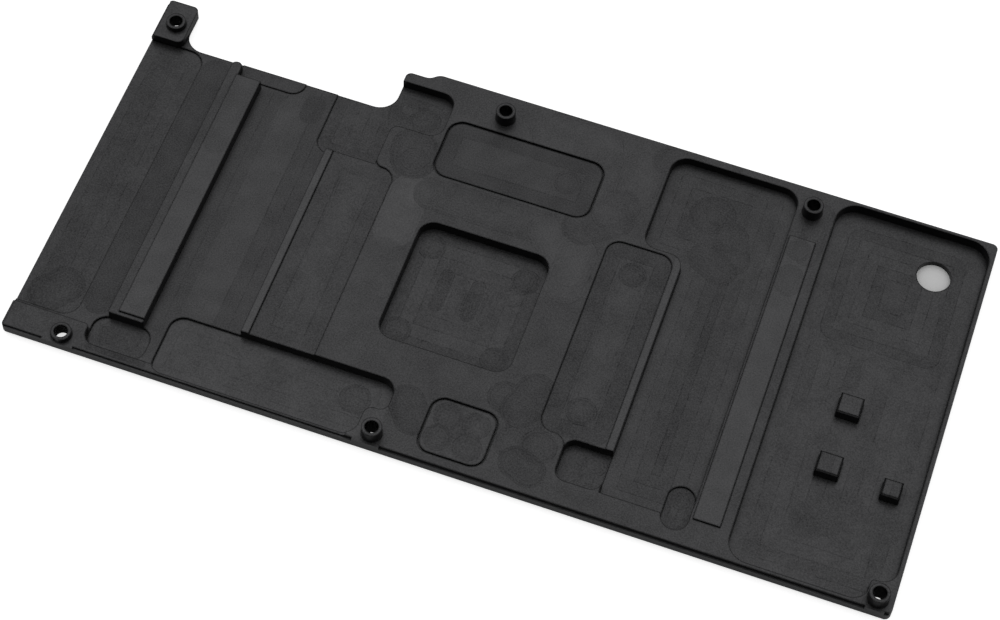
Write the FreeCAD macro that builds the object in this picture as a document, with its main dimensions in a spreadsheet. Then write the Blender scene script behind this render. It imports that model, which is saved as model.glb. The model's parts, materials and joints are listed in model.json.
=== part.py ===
import FreeCAD, Part
import math
import os
import Sketcher

# Backplate of a graphics card, milled from one piece of aluminium.
# The plate lies on its outer face: +Z is the inner side, which faces the circuit board.
# In plan, X runs along the card from the bracket end and Y across it from the slot edge.
# Sketches are drawn from the corner of the plate where the bracket end meets the slot edge.

doc = FreeCAD.newDocument("graphics_card_backplate")
sheet = doc.addObject("Spreadsheet::Sheet", "Sizes")

SIZES = [
    # Columns along X, one after another from the bracket end. Their sum is the plate's length.
    ("recess_width", 15.1),
    ("bracket_floor_width", 7.6),
    ("ledge_width", 2.45),
    ("strip_width", 6.6),
    ("open_floor_width", 22.65),
    ("rib_width", 2.0),
    ("memory_width", 16.85),
    ("processor_gap", 11.25),
    ("processor_width", 33.5),
    ("coil_floor_width", 21.9),
    ("strip_margin", 0.6),
    ("strip_gap", 2.7),
    ("power_width", 39.0),
    ("end_rim", 1.1),
    # Rows along Y, one after another from the slot edge. Their sum is the plate's width.
    ("slot_row", 18.15),
    ("processor_row_gap", 10.55),
    ("processor_height", 34.7),
    ("caption_row", 13.3),
    ("upper_memory_height", 17.5),
    ("top_row", 11.4),
    # Levels above the outer face.
    ("land_level", 4.1),
    ("tab_level", 4.0),
    ("rim_level", 3.6),
    ("strip_level", 4.5),
    ("memory_level", 3.75),
    ("edge_step_level", 3.15),
    ("shelf_level", 2.2),
    ("bracket_floor_level", 1.95),
    ("coil_floor_level", 1.85),
    ("notch_pocket_level", 1.7),
    ("recess_level", 1.5),
    ("deep_level", 1.4),
    ("boss_level", 7.15),
    ("tab_boss_level", 5.25),
    ("rim_boss_level", 4.85),
    # Outline.
    ("plate_corner", 1.5),
    ("outer_bevel", 1.2),
    ("tab_width", 8.4),
    ("tab_corner", 1.5),
    ("tab_foot_round", 1.8),
    ("tab_drop", 1.9),
    ("notch_width", 57.0),
    ("notch_depth", 13.4),
    ("notch_round", 5.0),
    ("shoulder_length", 7.1),
    ("shoulder_round", 3.0),
    # Rim at the slot corner, tab, and the fine step along their edges.
    ("rim_length", 19.8),
    ("rim_height", 7.66),
    ("rim_corner", 1.0),
    ("rim_neck", 2.76),
    ("rim_neck_round", 3.0),
    ("rim_end", 87.6),
    ("tab_land_height", 12.0),
    ("edge_step_width", 0.47),
    ("boss_clearance", 3.95),
    ("boss_clearance_east", 2.8),
    ("corner_boss_clearance", 2.3),
    # Recess at the bracket end and the shelf beside the notch.
    ("recess_bottom_gap", 1.3),
    ("recess_top_gap", 0.3),
    ("recess_round", 4.2),
    ("shelf_right", 42.3),
    ("shelf_bottom", 88.2),
    ("shelf_round", 3.5),
    # Contact strips and the ledge that carries the first one.
    ("ledge_bottom", 11.8),
    ("ledge_round", 0.8),
    ("ledge_border", 1.3),
    ("first_strip_height", 74.4),
    ("finger_width", 2.8),
    ("finger_top", 91.4),
    ("finger_round", 1.3),
    ("second_strip_bottom", 7.8),
    ("second_strip_height", 82.5),
    # Pockets along the slot edge.
    ("corner_pocket_left", 20.0),
    ("corner_pocket_width", 14.7),
    ("corner_pocket_bottom", 2.76),
    ("corner_pocket_height", 9.3),
    ("corner_pocket_round", 3.5),
    ("slot_pocket_left", 37.3),
    ("slot_pocket_width", 57.2),
    ("slot_pocket_bottom", 1.12),
    ("slot_pocket_round", 3.6),
    ("boss_bay_width", 5.0),
    ("boss_bay_bottom", 9.75),
    ("boss_bay_round", 2.2),
    # Pocket beside the notch.
    ("notch_pocket_left", 50.9),
    ("notch_pocket_step", 67.4),
    ("notch_pocket_gap", 0.45),
    ("notch_pocket_right", 80.0),
    ("notch_pocket_shoulder", 87.2),
    ("notch_pocket_top", 100.7),
    ("notch_pocket_round", 3.5),
    ("notch_pocket_land_round", 2.2),
    # Processor, memory and pad areas.
    ("processor_round", 4.0),
    ("memory_length", 56.0),
    ("memory_round", 3.6),
    ("memory_foot_round", 3.2),
    ("upper_memory_left_inset", 3.5),
    ("upper_memory_width", 41.3),
    ("upper_memory_round", 4.0),
    ("upper_memory_depth", 0.25),
    ("choke_area_left", 103.8),
    ("choke_area_width", 16.8),
    ("choke_area_bottom", 2.7),
    ("choke_area_height", 15.35),
    ("choke_area_round", 3.6),
    ("choke_area_depth", 0.1),
    ("groove_width", 0.42),
    ("groove_depth", 0.65),
    # Coil floor, with the deeper pocket and the slot in it.
    ("coil_floor_bottom", 6.85),
    ("coil_floor_rim", 2.1),
    ("coil_floor_round", 4.4),
    ("coil_bay_width", 11.0),
    ("coil_bay_round", 3.5),
    ("coil_bay_gap", 0.9),
    ("foot_pocket_width", 11.4),
    ("foot_pocket_round", 2.8),
    ("oval_slot_margin", 0.1),
    ("oval_slot_width", 6.7),
    ("oval_slot_bottom", 3.65),
    ("oval_slot_height", 12.55),
    # Power pocket, its pads and the round opening.
    ("power_pocket_top_rim", 0.8),
    ("power_pocket_bottom_rim", 1.35),
    ("power_pocket_round", 5.4),
    ("corner_land_width", 5.45),
    ("corner_land_height", 6.15),
    ("corner_land_round", 1.0),
    ("corner_land_foot_round", 4.0),
    ("pad_left_gap", 14.4),
    ("pad_width", 5.75),
    ("pad_height", 5.55),
    ("pad_bottom", 30.0),
    ("pad_pitch", 16.8),
    ("pad_offset", 0.6),
    ("small_pad_right_gap", 4.5),
    ("small_pad_width", 4.6),
    ("small_pad_height", 4.7),
    ("small_pad_bottom", 29.1),
    ("pad_bevel", 0.35),
    ("window_diameter", 8.5),
    ("window_right_gap", 11.8),
    ("window_top_gap", 12.6),
    # Bosses and their screw holes, countersunk from the outer face.
    ("boss_diameter", 5.0),
    ("screw_diameter", 3.3),
    ("head_diameter", 5.6),
    ("boss_slot_gap", 3.2),
    ("boss_top_gap", 6.6),
    ("boss_processor_inset", 8.9),
    ("boss_power_gap", 3.3),
    ("boss_end_gap", 3.9),
    ("tab_boss_left", 4.7),
    ("tab_boss_drop", 6.7),
    ("rim_boss_left", 14.7),
    ("rim_boss_bottom", 2.9),
    # How far a cut reaches past an open edge.
    ("overrun", 5.0),
]

for row, (name, size) in enumerate(SIZES, start=1):
    sheet.set(f"A{row}", name)
    sheet.set(f"B{row}", str(size))
    sheet.setAlias(f"B{row}", name)
doc.recompute()


def total(*names):
    """Expression for the sum of named sizes."""
    return " + ".join(f"Sizes.{name}" for name in names)


def less(expression, *names):
    """Expression for a place that lies named sizes before another one."""
    return expression + "".join(f" - Sizes.{name}" for name in names)


def number(expression):
    """Present value of an expression, in millimetres."""
    return float(sheet.evalExpression(expression))


# Places along X.
recess_right = total("recess_width")
ledge_left = total("recess_width", "bracket_floor_width")
first_strip_left = ledge_left + " + Sizes.ledge_width"
first_strip_right = first_strip_left + " + Sizes.strip_width"
rib_left = first_strip_right + " + Sizes.open_floor_width"
left_memory_left = rib_left + " + Sizes.rib_width"
left_memory_right = left_memory_left + " + Sizes.memory_width"
processor_left = left_memory_right + " + Sizes.processor_gap"
processor_right = processor_left + " + Sizes.processor_width"
right_memory_left = processor_right + " + Sizes.processor_gap"
right_memory_right = right_memory_left + " + Sizes.memory_width"
coil_floor_left = right_memory_right + " + Sizes.rib_width"
coil_floor_right = coil_floor_left + " + Sizes.coil_floor_width"
second_strip_left = coil_floor_right + " + Sizes.strip_margin"
second_strip_right = second_strip_left + " + Sizes.strip_width"
power_left = second_strip_right + " + Sizes.strip_gap"
power_right = power_left + " + Sizes.power_width"
plate_length = power_right + " + Sizes.end_rim"
notch_left = total("tab_width")
notch_right = total("tab_width", "notch_width")
slot_pocket_right = total("slot_pocket_left", "slot_pocket_width")

# Places along Y.
slot_row_top = total("slot_row")
processor_bottom = total("slot_row", "processor_row_gap")
processor_top = processor_bottom + " + Sizes.processor_height"
upper_memory_bottom = processor_top + " + Sizes.caption_row"
upper_memory_top = upper_memory_bottom + " + Sizes.upper_memory_height"
plate_width = upper_memory_top + " + Sizes.top_row"
tab_top = less(plate_width, "tab_drop")
tab_bottom = less(tab_top, "tab_land_height")
notch_bottom = less(plate_width, "notch_depth")
memory_top = total("slot_row", "memory_length")

body = doc.addObject("PartDesign::Body", "backplate")
body.Label = "backplate"


def origin_plane(role):
    """Base plane of the body with a given role."""
    return next(item for item in body.Origin.OriginFeatures if item.Role == role)


def new_sketch(name, level):
    """Sketch parallel to the outer face, at a level given by an expression."""
    sketch = body.newObject("Sketcher::SketchObject", name)
    sketch.AttachmentSupport = [(origin_plane("XY_Plane"), "")]
    sketch.MapMode = "FlatFace"
    sketch.setExpression("AttachmentOffset.Base.z", level)
    return sketch


def place(sketch, axis, geometry, point, expression, name):
    """Fix one coordinate of a sketch point with a named, bound distance from the datum corner."""
    distance = number(expression)
    kind = "DistanceX" if axis == 0 else "DistanceY"
    if abs(distance) < 1e-9:
        sketch.addConstraint(Sketcher.Constraint("PointOnObject", geometry, point, -2 + axis))
        return
    if distance > 0:
        index = sketch.addConstraint(Sketcher.Constraint(kind, -1, 1, geometry, point, distance))
        bound = expression
    else:
        index = sketch.addConstraint(Sketcher.Constraint(kind, geometry, point, -1, 1, -distance))
        bound = f"-({expression})"
    sketch.renameConstraint(index, name)
    sketch.setExpression(f"Constraints.{name}", bound)


def draw_outline(sketch, corners, prefix="edge"):
    """Closed outline of edges along X and Y, with tangent arcs at its corners.

    Each corner is (x, y, radius) as expressions. A radius of None leaves the corner sharp.
    Where an edge is shorter than the radii at its ends, the two arcs meet in an S-curve instead.
    """
    count = len(corners)
    spots = [FreeCAD.Vector(number(x), number(y), 0) for x, y, _ in corners]
    radii = [0.0 if radius is None else number(radius) for _, _, radius in corners]
    edges = [spots[(i + 1) % count] - spots[i] for i in range(count)]
    steps = [FreeCAD.Vector(edge).normalize() for edge in edges]
    curved = [radii[i] + radii[(i + 1) % count] > edges[i].Length for i in range(count)]
    starts, ends = [], []
    for i in range(count):
        rise = min(1.0, edges[i].Length / 2 / radii[i]) if curved[i] else 1.0
        rise = min(1.0, edges[i - 1].Length / 2 / radii[i]) if curved[i - 1] else rise
        reach = radii[i] * math.sqrt(1 - (1 - rise) ** 2)
        starts.append(spots[i] + (edges[i] / 2 if curved[i] else steps[i] * reach))
        ends.append(spots[i] - (edges[i - 1] / 2 if curved[i - 1] else steps[i - 1] * reach))
    lines = [
        None if curved[i]
        else sketch.addGeometry(Part.LineSegment(starts[i], ends[(i + 1) % count]), False)
        for i in range(count)
    ]
    meeting = None
    for i, (x, y, radius) in enumerate(corners):
        before, after = lines[i - 1], lines[i]
        vertical = abs(steps[i].x) < 0.5
        if after is not None:
            straight = "Vertical" if vertical else "Horizontal"
            sketch.addConstraint(Sketcher.Constraint(straight, after))
            place(sketch, 0 if vertical else 1, after, 1, x if vertical else y, f"{prefix}_{i}")
        if radius is None:
            sketch.addConstraint(Sketcher.Constraint("Coincident", before, 2, after, 1))
            continue
        if before is None:
            centre = starts[i] - steps[i - 1] * radii[i]
        else:
            centre = ends[i] + steps[i] * radii[i]
        turns_left = steps[i - 1].cross(steps[i]).z > 0
        first, second = (ends[i], starts[i]) if turns_left else (starts[i], ends[i])
        angles = [math.atan2(p.y - centre.y, p.x - centre.x) for p in (first, second)]
        circle = Part.Circle(centre, FreeCAD.Vector(0, 0, 1), radii[i])
        arc = sketch.addGeometry(Part.ArcOfCircle(circle, angles[0], angles[1]), False)
        entry, leave = (1, 2) if turns_left else (2, 1)
        if before is not None:
            sketch.addConstraint(Sketcher.Constraint("Tangent", before, 2, arc, entry))
        else:
            sketch.addConstraint(Sketcher.Constraint("Tangent", meeting[0], meeting[1], arc, entry))
            place(sketch, 1 if vertical else 0, arc, entry, y if vertical else x, f"{prefix}_{i}_meet")
        if after is not None:
            sketch.addConstraint(Sketcher.Constraint("Tangent", arc, leave, after, 1))
        meeting = (arc, leave)
        index = sketch.addConstraint(Sketcher.Constraint("Radius", arc, radii[i]))
        sketch.renameConstraint(index, f"{prefix}_{i}_round")
        sketch.setExpression(f"Constraints.{prefix}_{i}_round", radius)


def rectangle(left, bottom, right, top, radius=None):
    """Corners of a rectangle, anticlockwise, all with one radius."""
    return [(left, bottom, radius), (right, bottom, radius), (right, top, radius), (left, top, radius)]


def draw_circle(sketch, x, y, diameter, name):
    """Circle with a bound centre and diameter."""
    centre = FreeCAD.Vector(number(x), number(y), 0)
    circle = Part.Circle(centre, FreeCAD.Vector(0, 0, 1), number(diameter) / 2)
    geometry = sketch.addGeometry(circle, False)
    place(sketch, 0, geometry, 3, x, f"{name}_x")
    place(sketch, 1, geometry, 3, y, f"{name}_y")
    index = sketch.addConstraint(Sketcher.Constraint("Diameter", geometry, number(diameter)))
    sketch.renameConstraint(index, f"{name}_diameter")
    sketch.setExpression(f"Constraints.{name}_diameter", diameter)


def finish(feature, grows):
    """Recompute, and make sure that the feature adds or removes metal as it should."""
    before = finish.volume
    doc.recompute()
    if "Invalid" in feature.State or "Error" in feature.State:
        raise RuntimeError(f"{feature.Name} failed: {feature.State}")
    after = feature.Shape.Volume
    if (after > before) != grows or abs(after - before) < 1e-6:
        raise RuntimeError(f"{feature.Name} changed the volume from {before} to {after}")
    finish.volume = after
    return feature


finish.volume = 0.0


def add_pad(name, outlines, bottom, top):
    """Raise outlines from one level to another."""
    sketch = new_sketch(f"{name}_sketch", bottom)
    for index, corners in enumerate(outlines):
        draw_outline(sketch, corners, f"edge{index}")
    pad = body.newObject("PartDesign::Pad", name)
    pad.Profile = sketch
    pad.setExpression("Length", f"{top} - ({bottom})")
    sketch.Visibility = False
    return finish(pad, True)


def add_pocket(name, outlines, floor, top="Sizes.land_level"):
    """Cut outlines from one level down to a floor."""
    sketch = new_sketch(f"{name}_sketch", top)
    for index, corners in enumerate(outlines):
        draw_outline(sketch, corners, f"edge{index}")
    pocket = body.newObject("PartDesign::Pocket", name)
    pocket.Profile = sketch
    pocket.setExpression("Length", f"{top} - ({floor})")
    sketch.Visibility = False
    return finish(pocket, False)


# The blank: the plate's outline with the connector notch and the bracket tab.
shoulder = notch_right + " + Sizes.shoulder_length"
outline = [
    ("0", "0", "Sizes.plate_corner"),
    (plate_length, "0", "Sizes.plate_corner"),
    (plate_length, plate_width, "Sizes.plate_corner"),
    (shoulder, plate_width, "Sizes.shoulder_round"),
    (shoulder, tab_top, "Sizes.shoulder_round"),
    (notch_right, tab_top, "Sizes.tab_corner"),
    (notch_right, notch_bottom, "Sizes.notch_round"),
    (notch_left, notch_bottom, "Sizes.notch_round"),
    (notch_left, tab_top, "Sizes.tab_corner"),
    ("0", tab_top, "Sizes.tab_corner"),
]
blank = add_pad("blank", [outline], "0", "Sizes.land_level")

# The rim of the outer face is bevelled all round.
bevel = body.newObject("PartDesign::Chamfer", "outer_bevel")
bevel.Base = (blank, [
    f"Edge{index}"
    for index, edge in enumerate(blank.Shape.Edges, start=1)
    if edge.BoundBox.ZMax < 1e-6
])
bevel.setExpression("Size", "Sizes.outer_bevel")
finish(bevel, False)

# The tab and the rim along the slot pocket lie a little below the main land.
add_pocket(
    "tab_face",
    [rectangle("-Sizes.overrun", less(tab_bottom, "overrun"), notch_left + " + Sizes.overrun",
               plate_width + " + Sizes.overrun")],
    "Sizes.tab_level",
)
add_pocket(
    "rim_face",
    [rectangle("-Sizes.overrun", "-Sizes.overrun", "Sizes.rim_end", "Sizes.rim_height")],
    "Sizes.rim_level",
)

# The bracket floor runs out through the bracket end and the notch.
add_pocket(
    "bracket_floor",
    [[
        ("-Sizes.overrun", "Sizes.rim_height", None),
        ("Sizes.rim_length", "Sizes.rim_height", "Sizes.rim_corner"),
        ("Sizes.rim_length", "Sizes.rim_neck", "Sizes.rim_neck_round"),
        (rib_left, "Sizes.rim_neck", None),
        (rib_left, notch_bottom + " + Sizes.overrun", None),
        (notch_left, notch_bottom + " + Sizes.overrun", None),
        (notch_left, tab_bottom, "Sizes.tab_foot_round"),
        ("-Sizes.overrun", tab_bottom, None),
    ]],
    "Sizes.bracket_floor_level",
)
add_pocket(
    "bracket_recess",
    [[
        ("-Sizes.overrun", "Sizes.rim_height + Sizes.recess_bottom_gap", None),
        (recess_right, "Sizes.rim_height + Sizes.recess_bottom_gap", "Sizes.recess_round"),
        (recess_right, less(notch_bottom, "recess_top_gap"), "Sizes.recess_round"),
        ("-Sizes.overrun", less(notch_bottom, "recess_top_gap"), None),
    ]],
    "Sizes.recess_level",
    "Sizes.bracket_floor_level",
)

# The first contact strip stands on a ledge with a finger that reaches towards the notch.
add_pad(
    "strip_ledge",
    [[
        (ledge_left, "Sizes.ledge_bottom", "Sizes.ledge_round"),
        (first_strip_right, "Sizes.ledge_bottom", "Sizes.ledge_round"),
        (first_strip_right, total("ledge_bottom", "ledge_border", "first_strip_height"), None),
        (ledge_left + " + Sizes.finger_width",
         total("ledge_bottom", "ledge_border", "first_strip_height"), None),
        (ledge_left + " + Sizes.finger_width", "Sizes.finger_top", "Sizes.finger_round"),
        (ledge_left, "Sizes.finger_top", "Sizes.finger_round"),
    ]],
    "Sizes.bracket_floor_level",
    "Sizes.land_level",
)
add_pad(
    "shelf",
    [[
        (first_strip_left, "Sizes.shelf_bottom", None),
        ("Sizes.shelf_right", "Sizes.shelf_bottom", "Sizes.shelf_round"),
        ("Sizes.shelf_right", notch_bottom, None),
        (first_strip_left, notch_bottom, None),
    ]],
    "Sizes.bracket_floor_level",
    "Sizes.shelf_level",
)
add_pad(
    "first_strip",
    [rectangle(first_strip_left, total("ledge_bottom", "ledge_border"), first_strip_right,
               total("ledge_bottom", "ledge_border", "first_strip_height"))],
    "Sizes.land_level",
    "Sizes.strip_level",
)

# Memory areas beside the processor, each with a rib along its outer side.
add_pocket(
    "left_memory",
    [[
        (left_memory_left, slot_row_top, None),
        (left_memory_right, slot_row_top, None),
        (left_memory_right, memory_top, "Sizes.memory_round"),
        ("Sizes.notch_pocket_step", memory_top, "Sizes.notch_pocket_land_round"),
        ("Sizes.notch_pocket_step", memory_top + " + Sizes.overrun", None),
        (left_memory_left, memory_top + " + Sizes.overrun", None),
    ]],
    "Sizes.memory_level",
)
foot_pocket_left = less(coil_floor_left, "foot_pocket_width")
add_pocket(
    "right_memory",
    [[
        (right_memory_left, slot_row_top, "Sizes.memory_round"),
        (foot_pocket_left, slot_row_top, "Sizes.memory_foot_round"),
        (foot_pocket_left, "Sizes.slot_row - Sizes.overrun", None),
        (right_memory_right, "Sizes.slot_row - Sizes.overrun", None),
        (right_memory_right, memory_top, "Sizes.memory_round"),
        (right_memory_left, memory_top, "Sizes.memory_round"),
    ]],
    "Sizes.memory_level",
)

# The pocket beside the notch is open towards it.
add_pocket(
    "notch_pocket",
    [[
        ("Sizes.notch_pocket_left", memory_top + " + Sizes.notch_pocket_gap",
         "Sizes.notch_pocket_round"),
        ("Sizes.notch_pocket_step", memory_top + " + Sizes.notch_pocket_gap", None),
        ("Sizes.notch_pocket_step", "Sizes.notch_pocket_shoulder", "Sizes.notch_pocket_land_round"),
        ("Sizes.notch_pocket_right", "Sizes.notch_pocket_shoulder", "Sizes.notch_pocket_round"),
        ("Sizes.notch_pocket_right", "Sizes.notch_pocket_top", "Sizes.notch_pocket_round"),
        ("Sizes.notch_pocket_left", "Sizes.notch_pocket_top", None),
    ]],
    "Sizes.notch_pocket_level",
)

# The coil floor widens above the right rib.
add_pocket(
    "coil_floor",
    [[
        (coil_floor_left, "Sizes.coil_floor_bottom", None),
        (coil_floor_right, "Sizes.coil_floor_bottom", "Sizes.coil_floor_round"),
        (coil_floor_right, less(plate_width, "coil_floor_rim"), "Sizes.coil_floor_round"),
        (less(coil_floor_left, "coil_bay_width"), less(plate_width, "coil_floor_rim"),
         "Sizes.coil_floor_round"),
        (less(coil_floor_left, "coil_bay_width"), memory_top + " + Sizes.coil_bay_gap",
         "Sizes.coil_bay_round"),
        (coil_floor_left, memory_top + " + Sizes.coil_bay_gap", "Sizes.coil_bay_round"),
    ]],
    "Sizes.coil_floor_level",
)

# Deep pockets. A land patch is left for the boss in the corner of the power pocket.
# The ends of the oval slot are a hair less than half-round, which keeps a short flat between them.
bay_left = less(slot_pocket_right, "boss_bay_width")
corner_left = less(power_right, "corner_land_width")
corner_top = total("power_pocket_bottom_rim", "corner_land_height")
slot_left = less(coil_floor_right, "oval_slot_margin", "oval_slot_width")
deep_pockets = [
    ("corner_pocket", rectangle(
        "Sizes.corner_pocket_left", "Sizes.corner_pocket_bottom",
        total("corner_pocket_left", "corner_pocket_width"),
        total("corner_pocket_bottom", "corner_pocket_height"), "Sizes.corner_pocket_round")),
    ("slot_pocket", [
        ("Sizes.slot_pocket_left", "Sizes.slot_pocket_bottom", "Sizes.slot_pocket_round"),
        (bay_left, "Sizes.slot_pocket_bottom", "Sizes.slot_pocket_round"),
        (bay_left, "Sizes.boss_bay_bottom", "Sizes.boss_bay_round"),
        (slot_pocket_right, "Sizes.boss_bay_bottom", "Sizes.boss_bay_round"),
        (slot_pocket_right, slot_row_top, "Sizes.slot_pocket_round"),
        ("Sizes.slot_pocket_left", slot_row_top, "Sizes.slot_pocket_round"),
    ]),
    ("processor_pocket", rectangle(
        processor_left, processor_bottom, processor_right, processor_top,
        "Sizes.processor_round")),
    ("foot_pocket", [
        (foot_pocket_left, "Sizes.coil_floor_bottom", "Sizes.foot_pocket_round"),
        (coil_floor_left, "Sizes.coil_floor_bottom", "Sizes.foot_pocket_round"),
        (coil_floor_left, slot_row_top, None),
        (foot_pocket_left, slot_row_top, "Sizes.foot_pocket_round"),
    ]),
    ("oval_slot", rectangle(
        slot_left, "Sizes.oval_slot_bottom", slot_left + " + Sizes.oval_slot_width",
        total("oval_slot_bottom", "oval_slot_height"), "Sizes.oval_slot_width * 0.499")),
    ("power_pocket", [
        (power_left, "Sizes.power_pocket_bottom_rim", "Sizes.power_pocket_round"),
        (corner_left, "Sizes.power_pocket_bottom_rim", "Sizes.corner_land_foot_round"),
        (corner_left, corner_top, "Sizes.corner_land_round"),
        (power_right, corner_top, "Sizes.corner_land_foot_round"),
        (power_right, less(plate_width, "power_pocket_top_rim"), "Sizes.power_pocket_round"),
        (power_left, less(plate_width, "power_pocket_top_rim"), "Sizes.power_pocket_round"),
    ]),
]
for name, corners in deep_pockets:
    add_pocket(name, [corners], "Sizes.deep_level")

# The second contact strip stands on the land beside the coil floor.
add_pad(
    "second_strip",
    [rectangle(second_strip_left, "Sizes.second_strip_bottom", second_strip_right,
               total("second_strip_bottom", "second_strip_height"))],
    "Sizes.land_level",
    "Sizes.strip_level",
)

# Shallow areas on the land, each with a fine groove around it.
upper_left = less(processor_left, "upper_memory_left_inset")
upper_right = upper_left + " + Sizes.upper_memory_width"
choke_right = total("choke_area_left", "choke_area_width")
choke_top = total("choke_area_bottom", "choke_area_height")
shallow_areas = [
    ("upper_memory", upper_left, upper_memory_bottom, upper_right, upper_memory_top,
     "Sizes.upper_memory_round", "Sizes.upper_memory_depth"),
    ("choke_area", "Sizes.choke_area_left", "Sizes.choke_area_bottom", choke_right, choke_top,
     "Sizes.choke_area_round", "Sizes.choke_area_depth"),
]
for name, left, bottom, right, top, radius, depth in shallow_areas:
    groove = new_sketch(f"{name}_groove_sketch", "Sizes.land_level")
    draw_outline(groove, rectangle(left, bottom, right, top, radius), "outer")
    inner = rectangle(
        left + " + Sizes.groove_width", bottom + " + Sizes.groove_width",
        less(right, "groove_width"), less(top, "groove_width"), radius + " - Sizes.groove_width")
    draw_outline(groove, inner, "inner")
    cut = body.newObject("PartDesign::Pocket", f"{name}_groove")
    cut.Profile = groove
    cut.setExpression("Length", "Sizes.groove_depth")
    finish(cut, False)
    add_pocket(name, [inner], f"Sizes.land_level - {depth}")

# Contact pads on the floor of the power pocket, their tops bevelled.
pad_left = power_left + " + Sizes.pad_left_gap"
pad_outlines = [
    (pad_left + f" - Sizes.pad_offset * {1 - step}", f"Sizes.pad_bottom + Sizes.pad_pitch * {step}",
     "Sizes.pad_width", "Sizes.pad_height")
    for step in range(2)
]
pad_outlines.append((
    less(power_right, "small_pad_right_gap", "small_pad_width"), "Sizes.small_pad_bottom",
    "Sizes.small_pad_width", "Sizes.small_pad_height"))
pads = add_pad(
    "contact_pads",
    [rectangle(left, bottom, f"{left} + {width}", f"{bottom} + {height}")
     for left, bottom, width, height in pad_outlines],
    "Sizes.deep_level",
    "Sizes.land_level",
)
pad_tops = [
    (number(left), number(bottom), number(f"{left} + {width}"), number(f"{bottom} + {height}"))
    for left, bottom, width, height in pad_outlines
]


def on_pad_top(edge):
    """True for an edge that bounds the top of a contact pad."""
    box = edge.BoundBox
    level = number("Sizes.land_level")
    return abs(box.ZMin - level) < 1e-6 and abs(box.ZMax - level) < 1e-6 and any(
        box.XMin > x0 - 0.01 and box.YMin > y0 - 0.01 and box.XMax < x1 + 0.01 and box.YMax < y1 + 0.01
        for x0, y0, x1, y1 in pad_tops)


pad_bevel = body.newObject("PartDesign::Chamfer", "pad_bevel")
pad_bevel.Base = (pads, [
    f"Edge{index}" for index, edge in enumerate(pads.Shape.Edges, start=1) if on_pad_top(edge)
])
pad_bevel.setExpression("Size", "Sizes.pad_bevel")
finish(pad_bevel, False)

# Bosses that stand the plate off the circuit board: feature, foot, top and places.
slot_boss_x = processor_left + " + Sizes.boss_processor_inset"
top_boss_y = less(plate_width, "boss_top_gap")
bosses = [
    ("tab_boss", "Sizes.tab_level", "Sizes.tab_boss_level", {
        "tab": ("Sizes.tab_boss_left", less(tab_top, "tab_boss_drop")),
    }),
    ("rim_boss", "Sizes.rim_level", "Sizes.rim_boss_level", {
        "rim": ("Sizes.rim_boss_left", "Sizes.rim_boss_bottom"),
    }),
    ("tall_bosses", "Sizes.land_level", "Sizes.boss_level", {
        "slot": (slot_boss_x, "Sizes.boss_slot_gap"),
        "top": (slot_boss_x, top_boss_y),
        "strip": (less(second_strip_right, "boss_power_gap"), top_boss_y),
        "corner": (less(plate_length, "boss_end_gap"), "Sizes.boss_slot_gap"),
    }),
]
for name, foot, top, places in bosses:
    sketch = new_sketch(f"{name}_sketch", foot)
    for place_name, (x, y) in places.items():
        draw_circle(sketch, x, y, "Sizes.boss_diameter", place_name)
    boss = body.newObject("PartDesign::Pad", name)
    boss.Profile = sketch
    boss.setExpression("Length", f"{top} - {foot}")
    finish(boss, True)

# A fine step along the slot edge, interrupted at the bosses, and along the bracket end.
corner_x = less(plate_length, "boss_end_gap")
step_y = "Sizes.edge_step_width"
slot_edge_steps = [
    ("-Sizes.overrun", less("Sizes.rim_boss_left", "boss_clearance")),
    (total("rim_boss_left", "boss_clearance"), less(slot_boss_x, "boss_clearance")),
    (slot_boss_x + " + Sizes.boss_clearance_east", less(corner_x, "corner_boss_clearance")),
    (corner_x + " + Sizes.corner_boss_clearance", plate_length + " + Sizes.overrun"),
]
add_pocket(
    "slot_edge_step",
    [rectangle(left, "-Sizes.overrun", right, step_y) for left, right in slot_edge_steps],
    "Sizes.edge_step_level",
    "Sizes.land_level",
)
add_pocket(
    "bracket_end_step",
    [
        rectangle("-Sizes.overrun", step_y, step_y, "Sizes.rim_height + Sizes.recess_bottom_gap"),
        rectangle("-Sizes.overrun", less(tab_bottom, "recess_bottom_gap"), step_y,
                  tab_top + " + Sizes.overrun"),
    ],
    "Sizes.edge_step_level",
)

# Screw holes run through every boss, with a countersink for the head on the outer face.
hole_sketch = new_sketch("screw_hole_sketch", "Sizes.boss_level")
head_sketch = new_sketch("countersink_sketch", "0")
for _, _, _, places in bosses:
    for place_name, (x, y) in places.items():
        draw_circle(hole_sketch, x, y, "Sizes.screw_diameter", place_name)
        draw_circle(head_sketch, x, y, "Sizes.head_diameter", place_name)
holes = body.newObject("PartDesign::Pocket", "screw_holes")
holes.Profile = hole_sketch
holes.setExpression("Length", total("boss_level", "overrun"))
finish(holes, False)
countersinks = body.newObject("PartDesign::Pocket", "countersinks")
countersinks.Profile = head_sketch
countersinks.Reversed = True
countersinks.TaperAngle = -45
countersinks.setExpression("Length", "(Sizes.head_diameter - Sizes.screw_diameter) / 2")
finish(countersinks, False)

# The round opening in the floor of the power pocket.
window_sketch = new_sketch("window_sketch", "Sizes.land_level")
draw_circle(window_sketch, less(power_right, "window_right_gap"), less(plate_width, "window_top_gap"),
            "Sizes.window_diameter", "window")
window = body.newObject("PartDesign::Pocket", "window")
window.Profile = window_sketch
window.setExpression("Length", "Sizes.land_level + Sizes.overrun")
finish(window, False)

# The plate is centred on its origin, with the outer face on the ground plane.
body.setExpression("Placement.Base.x", f"-({plate_length}) / 2")
body.setExpression("Placement.Base.y", f"-({plate_width}) / 2")
body.Tip = window
doc.recompute()

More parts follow.
